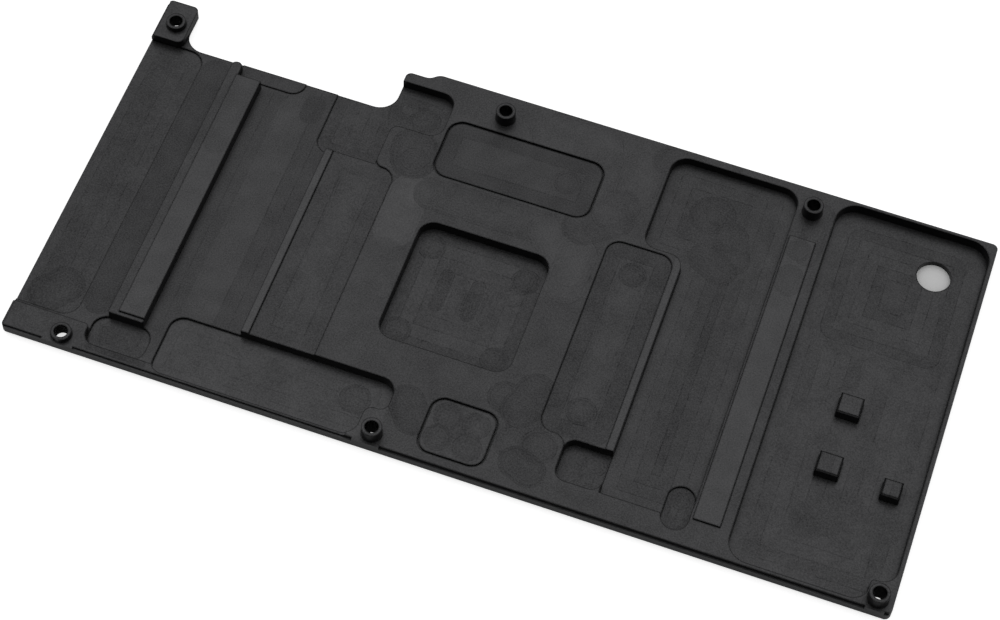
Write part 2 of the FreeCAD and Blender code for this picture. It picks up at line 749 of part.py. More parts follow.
for item in doc.Objects:
    if "Invalid" in item.State or "Error" in item.State:
        raise RuntimeError(f"{item.Name} did not rebuild: {item.State}")
shape = body.Shape
if shape.isNull() or not shape.isValid() or len(shape.Solids) != 1:
    raise RuntimeError("the plate isn't one valid solid")

os.makedirs("parts", exist_ok=True)
shape.exportStep("parts/backplate.step")
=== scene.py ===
"""A graphics card's backplate, milled from solid aluminium and anodised black, inner side up."""

import json
import logging
import math
from dataclasses import dataclass, field
from typing import Any

import bpy
from mathutils import Matrix, Vector

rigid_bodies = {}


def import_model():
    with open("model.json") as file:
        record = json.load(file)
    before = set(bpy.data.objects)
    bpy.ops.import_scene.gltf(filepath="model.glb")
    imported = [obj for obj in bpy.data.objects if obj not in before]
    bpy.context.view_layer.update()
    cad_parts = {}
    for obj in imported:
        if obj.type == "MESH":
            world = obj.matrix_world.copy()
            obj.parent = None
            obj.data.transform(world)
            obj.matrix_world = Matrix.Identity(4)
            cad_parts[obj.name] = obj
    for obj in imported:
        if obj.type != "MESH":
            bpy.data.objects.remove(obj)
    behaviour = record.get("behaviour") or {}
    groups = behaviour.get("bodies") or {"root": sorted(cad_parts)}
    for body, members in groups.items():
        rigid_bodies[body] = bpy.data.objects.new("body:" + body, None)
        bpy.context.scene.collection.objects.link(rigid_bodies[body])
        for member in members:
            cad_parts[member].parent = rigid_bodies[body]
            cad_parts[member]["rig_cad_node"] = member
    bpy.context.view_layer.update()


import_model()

LOG = logging.getLogger("backplate")
MM = 0.001

Tree = bpy.types.NodeTree
Node = bpy.types.Node
Socket = bpy.types.NodeSocket


def linear(hex_colour: str) -> tuple[float, float, float, float]:
    """Turn an sRGB hex value into a linear colour.

    Args:
        hex_colour: Six hex digits, with or without a leading hash.

    Returns:
        Red, green, blue and alpha, linear.
    """
    digits = hex_colour.lstrip("#")
    channels = [int(digits[i:i + 2], 16) / 255 for i in (0, 2, 4)]
    bent = [c / 12.92 if c <= 0.04045 else ((c + 0.055) / 1.055) ** 2.4 for c in channels]
    return (bent[0], bent[1], bent[2], 1.0)


def add_node(
    tree: Tree,
    kind: str,
    settings: dict[str, Any] | None = None,
    inputs: dict[str | int, Any] | None = None,
) -> Node:
    """Add one node to a tree, with its settings, values and links.

    Args:
        tree: Tree that gets the node.
        kind: Blender's class name of the node.
        settings: Properties to set on the node.
        inputs: Value or linked socket of each input, by name or place.

    Returns:
        The new node.
    """
    node = tree.nodes.new(kind)
    for name, value in (settings or {}).items():
        setattr(node, name, value)
    for key, value in (inputs or {}).items():
        if isinstance(value, bpy.types.NodeSocket):
            tree.links.new(value, node.inputs[key])
        else:
            node.inputs[key].default_value = value
    return node


@dataclass(frozen=True)
class CutterPass:
    """One straight stroke of an end mill, or a plunge where it has no length. Sizes in mm.

    Its last cut wipes out the marks under it. Its edge stays as a thin, broken dark arc.
    """

    start: tuple[float, float]
    end: tuple[float, float]
    radius: float
    tone: float
    edge: float = 0.20


@dataclass(frozen=True)
class PocketPasses:
    """Nested passes that clear a pocket from its wall inwards. Sizes in mm."""

    low: tuple[float, float]
    high: tuple[float, float]
    corner: float
    step: float
    tone: float
    contrast: float = 0.11


LAND_PASSES: tuple[CutterPass, ...] = (
    CutterPass((78.6, 57.8), (78.6, 69.5), 5.4, 0.92),
    CutterPass((78.6, 22.0), (78.6, 50.0), 5.4, 0.68, 0.04),
    CutterPass((84.0, 71.0), (114.0, 71.0), 5.0, 0.66),
    CutterPass((114.0, 70.5), (123.2, 62.0), 5.0, 0.75),
    CutterPass((123.2, 67.0), (123.2, 56.9), 5.0, 0.77),
    CutterPass((75.0, 82.5), (76.0, 79.0), 6.0, 0.56),
    CutterPass((76.2, 79.0), (76.2, 79.0), 3.6, 0.64),
    CutterPass((107.6, 98.6), (118.0, 98.6), 6.8, 0.70),
    CutterPass((130.9, 96.0), (130.9, 89.0), 5.6, 0.74),
    CutterPass((128.2, 79.6), (122.0, 75.0), 5.6, 0.62),
    CutterPass((129.0, 84.0), (127.0, 81.0), 5.0, 0.68),
    CutterPass((136.0, 101.0), (150.0, 104.6), 4.4, 0.64),
    CutterPass((176.0, 86.0), (176.5, 99.0), 3.4, 0.62),
    CutterPass((119.5, 23.0), (123.5, 22.0), 4.4, 0.58, 0.22),
    CutterPass((126.5, 17.5), (126.5, 17.5), 4.8, 0.56, 0.24),
    CutterPass((124.8, 12.0), (124.8, 12.0), 4.4, 0.64, 0.22),
    CutterPass((131.2, 13.2), (131.2, 13.2), 4.6, 0.63, 0.24),
    CutterPass((127.5, 7.6), (131.0, 6.2), 4.4, 0.57, 0.22),
    CutterPass((98.0, 14.0), (101.0, 10.0), 4.6, 0.55, 0.2),
    CutterPass((124.0, 21.0), (126.0, 27.0), 5.0, 0.56),
    # A thin dark stroke along the south rim, painted shade of the rim's narrow slope.
    CutterPass((22.0, 1.9), (36.0, 1.9), 1.1, 0.42, 0.0),
)

POCKETS: tuple[PocketPasses, ...] = (
    PocketPasses((-4.0, 8.96), (15.1, 91.9), 4.2, 3.4, 0.58),
    PocketPasses((31.75, 12.0), (54.4, 100.0), 1.0, 3.7, 0.64),
    PocketPasses((20.0, 2.76), (34.7, 12.06), 3.5, 2.4, 0.58),
    PocketPasses((37.3, 1.12), (94.5, 18.15), 3.6, 3.0, 0.70),
    PocketPasses((56.4, 18.15), (73.25, 74.15), 3.6, 4.2, 0.58, 0.12),
    PocketPasses((50.9, 74.6), (67.4, 98.0), 3.5, 3.4, 0.58),
    PocketPasses((62.0, 87.2), (80.0, 100.7), 3.5, 2.8, 0.57),
    PocketPasses((84.5, 28.7), (118.0, 63.4), 4.0, 3.6, 0.61, 0.13),
    PocketPasses((81.0, 76.7), (122.3, 94.2), 4.0, 4.4, 0.57, 0.09),
    PocketPasses((103.8, 2.7), (120.6, 18.05), 3.6, 2.9, 0.63, 0.10),
    PocketPasses((129.25, 18.15), (146.1, 74.15), 3.6, 4.2, 0.56, 0.12),
    PocketPasses((136.7, 6.85), (148.1, 18.15), 2.8, 2.4, 0.58),
    PocketPasses((148.1, 6.85), (170.0, 103.5), 4.4, 3.3, 0.575, 0.14),
    PocketPasses((137.1, 75.05), (166.0, 103.5), 4.4, 3.3, 0.570, 0.14),
    PocketPasses((163.2, 3.65), (169.9, 16.2), 3.3, 1.6, 0.54),
    PocketPasses((179.9, 1.35), (218.9, 104.8), 5.4, 3.5, 0.64, 0.12),
    PocketPasses((181.4, 64.0), (217.2, 103.3), 6.5, 3.0, 0.63, 0.17),
)

FLOOR_PASSES: tuple[CutterPass, ...] = (
    CutterPass((42.6, 20.0), (42.6, 84.0), 4.4, 0.71, 0.03),
    CutterPass((55.4, 18.6), (55.4, 73.2), 1.1, 0.86, 0.0),
    CutterPass((147.1, 18.6), (147.1, 74.0), 1.1, 0.80, 0.0),
    CutterPass((18.9, 15.0), (18.9, 88.0), 3.7, 0.50, 0.10),
    CutterPass((64.6, 36.5), (64.6, 66.5), 3.7, 0.72, 0.14),
    CutterPass((137.6, 26.0), (137.6, 65.0), 3.8, 0.68, 0.16),
    CutterPass((137.6, 25.8), (137.6, 25.8), 3.9, 0.60, 0.26),
    CutterPass((137.6, 66.0), (137.6, 66.0), 3.6, 0.56, 0.26),
    CutterPass((90.5, 86.5), (103.0, 86.5), 3.7, 0.66, 0.05),
    CutterPass((114.2, 86.0), (114.2, 86.0), 3.6, 0.60),
    CutterPass((88.6, 58.0), (88.6, 58.0), 3.7, 0.55),
    CutterPass((113.4, 56.5), (113.4, 56.5), 3.7, 0.55),
    CutterPass((88.6, 33.0), (88.6, 33.0), 3.7, 0.55),
    CutterPass((113.4, 33.0), (113.4, 33.0), 3.7, 0.55),
    CutterPass((95.0, 42.5), (95.0, 51.5), 1.9, 0.55, 0.18),
    CutterPass((99.2, 42.0), (99.2, 50.5), 1.9, 0.68, 0.18),
    CutterPass((103.2, 42.5), (103.2, 51.0), 2.0, 0.58, 0.22),
    CutterPass((107.2, 43.0), (107.2, 52.0), 1.9, 0.64, 0.18),
    CutterPass((111.9, 51.2), (111.9, 51.2), 2.9, 0.68, 0.22),
    CutterPass((151.0, 90.5), (151.0, 90.5), 6.0, 0.53, 0.16),
    CutterPass((151.5, 91.0), (151.5, 91.0), 3.2, 0.58, 0.16),
    CutterPass((157.0, 86.0), (159.0, 80.0), 4.6, 0.60),
    CutterPass((152.5, 78.0), (157.0, 76.0), 4.4, 0.57, 0.14),
    CutterPass((74.3, 92.5), (74.3, 92.5), 4.2, 0.58),
    CutterPass((86.0, 11.7), (86.0, 11.7), 4.1, 0.62),
    CutterPass((65.0, 11.0), (60.0, 12.0), 4.3, 0.68, 0.05),
    CutterPass((108.6, 13.6), (108.6, 13.6), 3.8, 0.60),
    CutterPass((108.2, 7.4), (108.2, 7.4), 3.7, 0.58),
    CutterPass((115.8, 13.4), (115.8, 13.4), 3.6, 0.63),
    CutterPass((115.6, 7.2), (115.6, 7.2), 3.7, 0.65),
    CutterPass((46.5, 84.0), (46.5, 87.0), 3.0, 0.52, 0.05),
    CutterPass((145.0, 14.6), (145.0, 14.6), 3.0, 0.63),
    CutterPass((139.9, 10.4), (139.9, 14.4), 3.0, 0.60),
    CutterPass((166.5, 12.5), (166.5, 12.5), 2.4, 0.56),
    CutterPass((173.9, 86.5), (173.9, 87.0), 3.2, 0.56, 0.16),
    CutterPass((173.9, 76.0), (173.9, 79.0), 3.3, 0.57, 0.16),
    CutterPass((28.4, 18.0), (28.4, 21.0), 3.3, 0.68, 0.15),
    CutterPass((28.4, 66.0), (28.4, 90.0), 3.3, 0.57, 0.1),
    CutterPass((6.5, 13.5), (9.0, 16.5), 5.4, 0.54, 0.2),
    CutterPass((201.0, 62.0), (212.0, 58.5), 4.4, 0.72, 0.16),
    CutterPass((197.0, 50.0), (197.0, 50.0), 6.0, 0.69),
    CutterPass((187.0, 40.0), (190.0, 45.0), 5.4, 0.68, 0.12),
    CutterPass((196.0, 39.5), (203.0, 39.5), 4.6, 0.65, 0.06),
    CutterPass((203.0, 24.0), (196.0, 18.0), 5.0, 0.59, 0.05),
    CutterPass((205.0, 18.0), (213.0, 22.0), 4.6, 0.61, 0.05),
    CutterPass((212.0, 42.0), (212.0, 42.0), 4.6, 0.72, 0.14),
)


@dataclass(frozen=True)
class AnodisedAluminium:
    """Black anodised aluminium, cut by an end mill on its inner side.

    The dyed oxide is nearly black, so what the eye sees is the sheen of the metal's fine
    cutter marks: even grey where a face looks up. The black on the walls of the pockets is
    painted shade in the colour, and the walls of the outline get painted light.
    """

    name: str = "black anodised milled aluminium"
    dark: str = "#181819"
    light: str = "#555556"
    # Colour of the painted shade along the edges.
    edge: str = "#050505"
    roughness: float = 0.40
    # Sizes of the marks.
    grain_mm: float = 0.32
    edge_mm: float = 0.52
    swirl_mm: float = 9.0
    ring_mm: float = 0.9
    cloud_mm: float = 7.0
    wander_mm: float = 0.16
    edge_fade_mm: float = 0.4
    bump_mm: float = 0.02
    # Sizes of the plate that the finish follows.
    strip_mm: float = 4.5
    rim_mm: float = 0.44
    length_mm: float = 220.0
    width_mm: float = 105.6
    # Shares of the tone, which runs from the dark colour at 0 to the light one at 1.
    land_tone: float = 0.625
    stroke_cover: float = 0.72
    lane_line: float = 1.3
    cloud_share: float = 0.26
    swirl_share: float = 0.09
    grain_share: float = 1.05
    ground: float = 0.77
    strip_share: float = 0.12
    # Share of the tone painted on as light on the outline's walls and the outer face.
    outline_light_tone: float = 0.60
    wall_grain: float = 0.16
    edge_shade_share: float = 0.96

    def pass_group(self) -> Tree:
        """Build the group that lays one stroke of the cutter over the tone under it.

        Returns:
            A node group with the inputs Place, Under, Start, End, Radius, Tone, Edge and Wear.
            Edge is added to the tone at the stroke's edge, so it is negative for a dark one.
        """
        tree = bpy.data.node_groups.new("cutter_stroke", "ShaderNodeTree")
        face = tree.interface
        for name, kind in (("Place", "Vector"), ("Under", "Float"), ("Start", "Vector"),
                           ("End", "Vector"), ("Radius", "Float"), ("Tone", "Float"),
                           ("Edge", "Float"), ("Wear", "Float")):
            face.new_socket(name=name, in_out="INPUT", socket_type=f"NodeSocket{kind}")
        face.new_socket(name="Over", in_out="OUTPUT", socket_type="NodeSocketFloat")
        face.new_socket(name="Onward", in_out="OUTPUT", socket_type="NodeSocketVector")
        given = add_node(tree, "NodeGroupInput").outputs
        # Distance from the stroke's centre line, which may be a single point.
        from_start = add_node(tree, "ShaderNodeVectorMath", {"operation": "SUBTRACT"},
                              {0: given["Place"], 1: given["Start"]}).outputs[0]
        run = add_node(tree, "ShaderNodeVectorMath", {"operation": "SUBTRACT"},
                       {0: given["End"], 1: given["Start"]}).outputs[0]
        along = add_node(tree, "ShaderNodeVectorMath", {"operation": "DOT_PRODUCT"},
                         {0: from_start, 1: run}).outputs["Value"]
        square = add_node(tree, "ShaderNodeVectorMath", {"operation": "DOT_PRODUCT"},
                          {0: run, 1: run}).outputs["Value"]
        safe = add_node(tree, "ShaderNodeMath", {"operation": "MAXIMUM"},
                        {0: square, 1: 0.0001}).outputs[0]
        share = add_node(tree, "ShaderNodeMath", {"operation": "DIVIDE", "use_clamp": True},
                         {0: along, 1: safe}).outputs[0]
        nearest = add_node(tree, "ShaderNodeVectorMath", {"operation": "SCALE"},
                           {0: run, "Scale": share}).outputs[0]
        apart = add_node(tree, "ShaderNodeVectorMath", {"operation": "DISTANCE"},
                         {0: from_start, 1: nearest}).outputs["Value"]
        depth = add_node(tree, "ShaderNodeMath", {"operation": "SUBTRACT"},
                         {0: given["Radius"], 1: apart}).outputs[0]
        # The stroke wipes out most of what lies under it, from its edge inwards.
        cover = add_node(tree, "ShaderNodeMapRange", {"interpolation_type": "SMOOTHSTEP"},
                         {"Value": depth, "From Min": 0.0, "From Max": self.edge_fade_mm,
                          "To Max": self.stroke_cover}).outputs[0]
        line = add_node(tree, "ShaderNodeMapRange", {"interpolation_type": "SMOOTHSTEP"},
                        {"Value": depth, "From Min": 0.46, "From Max": 0.1,
                         "To Max": 2.0}).outputs[0]
        worn = add_node(tree, "ShaderNodeMath", {"operation": "MULTIPLY"},
                        {0: line, 1: given["Wear"]}).outputs[0]
        # The cutter's last turns lie inside the edge as fine rings, darker close to it. The real
        # ones are about 0.1 mm apart. They are drawn wider, so that they show.
        turn = add_node(tree, "ShaderNodeMath", {"operation": "PINGPONG"},
                        {0: depth, 1: self.ring_mm / 2}).outputs[0]
        ring = add_node(tree, "ShaderNodeMapRange", {"interpolation_type": "SMOOTHSTEP"},
                        {"Value": turn, "From Min": 0.0, "From Max": self.ring_mm / 2,
                         "To Min": 1.2, "To Max": 0.4}).outputs[0]
        near_edge = add_node(tree, "ShaderNodeMapRange", {"interpolation_type": "SMOOTHSTEP"},
                             {"Value": depth, "From Min": -0.6, "From Max": 3.6,
                              "To Min": 0.74, "To Max": 0.04}).outputs[0]
        dark = add_node(tree, "ShaderNodeMath", {"operation": "MULTIPLY_ADD"},
                        {0: ring, 1: near_edge, 2: worn}).outputs[0]
        left = add_node(tree, "ShaderNodeMath", {"operation": "MULTIPLY_ADD"},
                        {0: dark, 1: given["Edge"], 2: given["Tone"]}).outputs[0]
        over = add_node(tree, "ShaderNodeMix", {"data_type": "FLOAT"},
                        {0: cover, 2: given["Under"], 3: left}).outputs[0]
        onward = self.hand_on(tree, given, over)
        add_node(tree, "NodeGroupOutput", {}, {"Over": over, "Onward": onward})
        return tree

    def pocket_group(self) -> Tree:
        """Build the group that lays a pocket's nested passes over the tone under it.

        Returns:
            A node group with the inputs Place, Under, Centre, Core, Corner, Step, Tone,
            Contrast and Wear. Core is half the pocket's size, less its corner radius.
        """
        tree = bpy.data.node_groups.new("pocket_passes", "ShaderNodeTree")
        face = tree.interface
        for name, kind in (("Place", "Vector"), ("Under", "Float"), ("Centre", "Vector"),
                           ("Core", "Vector"), ("Corner", "Float"), ("Step", "Float"),
                           ("Tone", "Float"), ("Contrast", "Float"), ("Wear", "Float")):
            face.new_socket(name=name, in_out="INPUT", socket_type=f"NodeSocket{kind}")
        face.new_socket(name="Over", in_out="OUTPUT", socket_type="NodeSocketFloat")
        face.new_socket(name="Onward", in_out="OUTPUT", socket_type="NodeSocketVector")
        given = add_node(tree, "NodeGroupInput").outputs
        # Distance from the wall of a rectangle with round corners.
        centred = add_node(tree, "ShaderNodeVectorMath", {"operation": "SUBTRACT"},
                           {0: given["Place"], 1: given["Centre"]}).outputs[0]
        folded = add_node(tree, "ShaderNodeVectorMath", {"operation": "ABSOLUTE"},
                          {0: centred}).outputs[0]
        reach = add_node(tree, "ShaderNodeVectorMath", {"operation": "SUBTRACT"},
                         {0: folded, 1: given["Core"]}).outputs[0]
        outer = add_node(tree, "ShaderNodeVectorMath", {"operation": "MAXIMUM"},
                         {0: reach, 1: (0.0, 0.0, 0.0)}).outputs[0]
        bow = add_node(tree, "ShaderNodeVectorMath", {"operation": "LENGTH"},
                       {0: outer}).outputs["Value"]
        parts = add_node(tree, "ShaderNodeSeparateXYZ", {}, {0: reach}).outputs
        larger = add_node(tree, "ShaderNodeMath", {"operation": "MAXIMUM"},
                          {0: parts["X"], 1: parts["Y"]}).outputs[0]
        inner = add_node(tree, "ShaderNodeMath", {"operation": "MINIMUM"},
                         {0: larger, 1: 0.0}).outputs[0]
        out = add_node(tree, "ShaderNodeMath", {"operation": "ADD"}, {0: bow, 1: inner}).outputs[0]
        depth = add_node(tree, "ShaderNodeMath", {"operation": "SUBTRACT"},
                         {0: given["Corner"], 1: out}).outputs[0]
        inside = add_node(tree, "ShaderNodeMath", {"operation": "GREATER_THAN"},
                          {0: depth, 1: 0.0}).outputs[0]
        lane = add_node(tree, "ShaderNodeMath", {"operation": "DIVIDE"},
                        {0: depth, 1: given["Step"]}).outputs[0]
        number = add_node(tree, "ShaderNodeMath", {"operation": "FLOOR"}, {0: lane}).outputs[0]
        seed = add_node(tree, "ShaderNodeVectorMath", {"operation": "LENGTH"},
                        {0: given["Centre"]}).outputs["Value"]
        key = add_node(tree, "ShaderNodeMath", {"operation": "MULTIPLY_ADD"},
                       {0: number, 1: 7.31, 2: seed}).outputs[0]
        chance = add_node(tree, "ShaderNodeTexWhiteNoise", {"noise_dimensions": "1D"},
                          {"W": key}).outputs["Value"]
        swing = add_node(tree, "ShaderNodeMath", {"operation": "SUBTRACT"},
                         {0: chance, 1: 0.5}).outputs[0]
        # A thin line stays where two passes meet, though not beside the wall.
        nearest = add_node(tree, "ShaderNodeMath", {"operation": "PINGPONG"},
                           {0: lane, 1: 0.5}).outputs[0]
        line = add_node(tree, "ShaderNodeMapRange", {"interpolation_type": "SMOOTHSTEP"},
                        {"Value": nearest, "From Min": 0.07, "From Max": 0.0}).outputs[0]
        first = add_node(tree, "ShaderNodeMapRange", {"interpolation_type": "SMOOTHSTEP"},
                         {"Value": depth, "From Min": 0.8, "From Max": 1.6}).outputs[0]
        faint = add_node(tree, "ShaderNodeMath", {"operation": "MULTIPLY"},
                         {0: line, 1: first}).outputs[0]
        kept = add_node(tree, "ShaderNodeMath", {"operation": "MULTIPLY"},
                        {0: faint, 1: given["Wear"]}).outputs[0]
        marked = add_node(tree, "ShaderNodeMath", {"operation": "MULTIPLY_ADD"},
                          {0: kept, 1: -self.lane_line, 2: swing}).outputs[0]
        left = add_node(tree, "ShaderNodeMath", {"operation": "MULTIPLY_ADD"},
                        {0: marked, 1: given["Contrast"], 2: given["Tone"]}).outputs[0]
        over = add_node(tree, "ShaderNodeMix", {"data_type": "FLOAT"},
                        {0: inside, 2: given["Under"], 3: left}).outputs[0]
        onward = self.hand_on(tree, given, over)
        add_node(tree, "NodeGroupOutput", {}, {"Over": over, "Onward": onward})
        return tree

    def hand_on(self, tree: Tree, given: Any, over: Socket) -> Socket:
        """Hand the place on to the next mark, so that the marks are worked out in their order.

        Args:
            tree: Tree of the mark's group.
            given: The group's inputs.
            over: The tone that this mark leaves.

        Returns:
            The place, unchanged to within a millionth of a millimetre.
        """
        onward = add_node(tree, "ShaderNodeVectorMath", {"operation": "MULTIPLY_ADD"},
                          {0: over, 1: (1e-6, 1e-6, 0.0), 2: given["Place"]})
        return onward.outputs[0]

    def build(self) -> bpy.types.Material:
        """Make the material.

        Returns:
            The finished material.
        """
        material = bpy.data.materials.new(self.name)
        material.use_nodes = True
        tree = material.node_tree
        tree.nodes.clear()
        place = add_node(tree, "ShaderNodeTexCoord").outputs["Object"]
        in_mm = add_node(tree, "ShaderNodeVectorMath", {"operation": "MULTIPLY_ADD"},
                         {0: place, 1: (1000.0, 1000.0, 1000.0),
                          2: (self.length_mm / 2, self.width_mm / 2, 0.0)}).outputs[0]
        flat = add_node(tree, "ShaderNodeVectorMath", {"operation": "MULTIPLY"},
                        {0: in_mm, 1: (1.0, 1.0, 0.0)}).outputs[0]
        # The cutter wanders by a few hundredths, so its marks aren't ruler straight.
        wander = add_node(tree, "ShaderNodeTexNoise", {"noise_dimensions": "2D"},
                          {"Vector": flat, "Scale": 0.16, "Detail": 1.0}).outputs["Color"]
        moved = add_node(tree, "ShaderNodeVectorMath", {"operation": "MULTIPLY_ADD"},
                         {0: wander, 1: (self.wander_mm, self.wander_mm, 0.0),
                          2: (-self.wander_mm / 2, -self.wander_mm / 2, 0.0)}).outputs[0]
        cut = add_node(tree, "ShaderNodeVectorMath", {"operation": "ADD"},
                       {0: flat, 1: moved}).outputs[0]

        patches = add_node(tree, "ShaderNodeTexNoise", {"noise_dimensions": "2D"},
                           {"Vector": flat, "Scale": 0.35, "Detail": 2.0}).outputs[0]
        wear = add_node(tree, "ShaderNodeMapRange", {},
                        {"Value": patches, "From Min": 0.38, "From Max": 0.58}).outputs[0]
        kept_line = add_node(tree, "ShaderNodeMath", {"operation": "MULTIPLY_ADD"},
                             {0: wear, 1: 0.8, 2: 0.2}).outputs[0]
        stroke, pocket = self.pass_group(), self.pocket_group()
        tone: Any = self.land_tone
        for mark in LAND_PASSES:
            tone, cut = self.lay(tree, stroke, cut, tone, wear, mark)
        for area in POCKETS:
            centre = [(a + b) / 2 for a, b in zip(area.low, area.high)]
            core = [(b - a) / 2 - area.corner for a, b in zip(area.low, area.high)]
            node = add_node(tree, "ShaderNodeGroup", {"node_tree": pocket},
                            {"Place": cut, "Under": tone, "Centre": (*centre, 0.0),
                             "Core": (*core, 0.0), "Corner": area.corner, "Step": area.step,
                             "Tone": area.tone, "Contrast": area.contrast, "Wear": kept_line})
            tone, cut = node.outputs["Over"], node.outputs["Onward"]
        for mark in FLOOR_PASSES:
            tone, cut = self.lay(tree, stroke, cut, tone, wear, mark)

        # Soft clouds of the dye bath, and the fine grain of the cutter's feed marks.
        cloud = add_node(tree, "ShaderNodeTexNoise", {"noise_dimensions": "2D"},
                         {"Vector": flat, "Scale": 1 / self.cloud_mm, "Detail": 3.0,
                          "Roughness": 0.6}).outputs[0]
        grain = add_node(tree, "ShaderNodeTexNoise", {"noise_dimensions": "3D"},
                         {"Vector": in_mm, "Scale": 1 / self.grain_mm, "Detail": 2.0,
                          "Roughness": 0.7}).outputs[0]
        clouded = add_node(tree, "ShaderNodeMath", {"operation": "MULTIPLY_ADD"},
                           {0: cloud, 1: self.cloud_share, 2: tone}).outputs[0]
        swirled = add_node(tree, "ShaderNodeMath", {"operation": "MULTIPLY_ADD"},
                           {0: self.swirls(tree, flat), 1: self.swirl_share, 2: clouded}).outputs[0]
        grained = add_node(tree, "ShaderNodeMath", {"operation": "MULTIPLY_ADD"},
                           {0: grain, 1: self.grain_share, 2: swirled}).outputs[0]
        level = add_node(tree, "ShaderNodeMath", {"operation": "SUBTRACT", "use_clamp": True},
                         {0: grained, 1: self.ground}).outputs[0]
        # Marks show only where a face looks up. Walls and the outer face get painted shade and
        # light instead of the marks.
        normal = add_node(tree, "ShaderNodeNewGeometry").outputs["Normal"]
        eased = add_node(tree, "ShaderNodeBevel", {"samples": 4},
                         {"Radius": self.edge_mm * MM}).outputs[0]
        upward = add_node(tree, "ShaderNodeSeparateXYZ", {}, {0: normal}).outputs["Z"]
        height = add_node(tree, "ShaderNodeSeparateXYZ", {}, {0: in_mm}).outputs["Z"]
        # The tops of the contact strips are a little lighter than the land.
        raised = add_node(tree, "ShaderNodeMath", {"operation": "COMPARE"},
                          {0: height, 1: self.strip_mm, 2: 0.2}).outputs[0]
        faces_up = add_node(tree, "ShaderNodeMapRange", {},
                            {"Value": upward, "From Min": 0.6, "From Max": 0.9}).outputs[0]
        # Painted shade and light: walls inside the plate are painted near black, as if they got
        # little of the light, and the walls of the outline and the outer face are painted lighter,
        # as if they got all of it.
        from_middle = add_node(tree, "ShaderNodeVectorMath", {"operation": "ABSOLUTE"},
                               {0: place}).outputs[0]
        past = add_node(tree, "ShaderNodeVectorMath", {"operation": "SUBTRACT"},
                        {0: from_middle,
                         1: ((self.length_mm / 2 - self.rim_mm) * MM,
                             (self.width_mm / 2 - self.rim_mm) * MM, 1.0)})
        sides = add_node(tree, "ShaderNodeSeparateXYZ", {}, {0: past.outputs[0]}).outputs
        rim = add_node(tree, "ShaderNodeMath", {"operation": "MAXIMUM"},
                       {0: sides["X"], 1: sides["Y"]}).outputs[0]
        outer = add_node(tree, "ShaderNodeMath", {"operation": "GREATER_THAN"},
                         {0: rim, 1: 0.0}).outputs[0]
        below = add_node(tree, "ShaderNodeMath", {"operation": "LESS_THAN"},
                         {0: upward, 1: -0.5}).outputs[0]
        painted_lit_mask = add_node(tree, "ShaderNodeMath", {"operation": "MAXIMUM"},
                           {0: outer, 1: below}).outputs[0]
        # Painted light on the outline's walls and the outer face; walls inside the plate stay
        # painted dark.
        painted_wall_tone = add_node(tree, "ShaderNodeMath", {"operation": "MULTIPLY"},
                        {0: painted_lit_mask, 1: self.outline_light_tone}).outputs[0]
        wall_shade_and_light = add_node(tree, "ShaderNodeMath", {"operation": "MULTIPLY_ADD"},
                         {0: grain, 1: self.wall_grain, 2: painted_wall_tone}).outputs[0]
        topped = add_node(tree, "ShaderNodeMath", {"operation": "MULTIPLY_ADD"},
                          {0: raised, 1: self.strip_share, 2: level}).outputs[0]
        seen = add_node(tree, "ShaderNodeMix", {"data_type": "FLOAT"},
                        {0: faces_up, 2: wall_shade_and_light, 3: topped}).outputs[0]
        # Painted shade: a dark line is painted along the sharp edges inside the plate, where the
        # small edge breaks catch no light.
        agree = add_node(tree, "ShaderNodeVectorMath", {"operation": "DOT_PRODUCT"},
                         {0: normal, 1: eased}).outputs["Value"]
        edge_shade = add_node(tree, "ShaderNodeMapRange", {},
                            {"Value": agree, "From Min": 0.998, "From Max": 0.94,
                             "To Min": 0.0, "To Max": self.edge_shade_share}).outputs[0]
        sheltered = add_node(tree, "ShaderNodeMath", {"operation": "SUBTRACT"},
                             {0: 1.0, 1: painted_lit_mask}).outputs[0]
        edge_shade_mask = add_node(tree, "ShaderNodeMath", {"operation": "MULTIPLY"},
                         {0: edge_shade, 1: sheltered}).outputs[0]
        metal = add_node(tree, "ShaderNodeMix", {"data_type": "RGBA"},
                         {0: seen, 6: linear(self.dark), 7: linear(self.light)}).outputs[2]
        colour = add_node(tree, "ShaderNodeMix", {"data_type": "RGBA"},
                          {0: edge_shade_mask, 6: metal, 7: linear(self.edge)}).outputs[2]
        rough = add_node(tree, "ShaderNodeMapRange", {},
                         {"Value": grain, "To Min": self.roughness - 0.05,
                          "To Max": self.roughness + 0.07}).outputs[0]
        bump = add_node(tree, "ShaderNodeBump", {},
                        {"Strength": 0.3, "Distance": self.bump_mm * MM,
                         "Height": grain}).outputs[0]
        shader = add_node(tree, "ShaderNodeBsdfPrincipled", {},
                          {"Base Color": colour, "Metallic": 1.0, "Roughness": rough,
                           "Normal": bump}).outputs[0]
        add_node(tree, "ShaderNodeOutputMaterial", {}, {"Surface": shader})
        return material

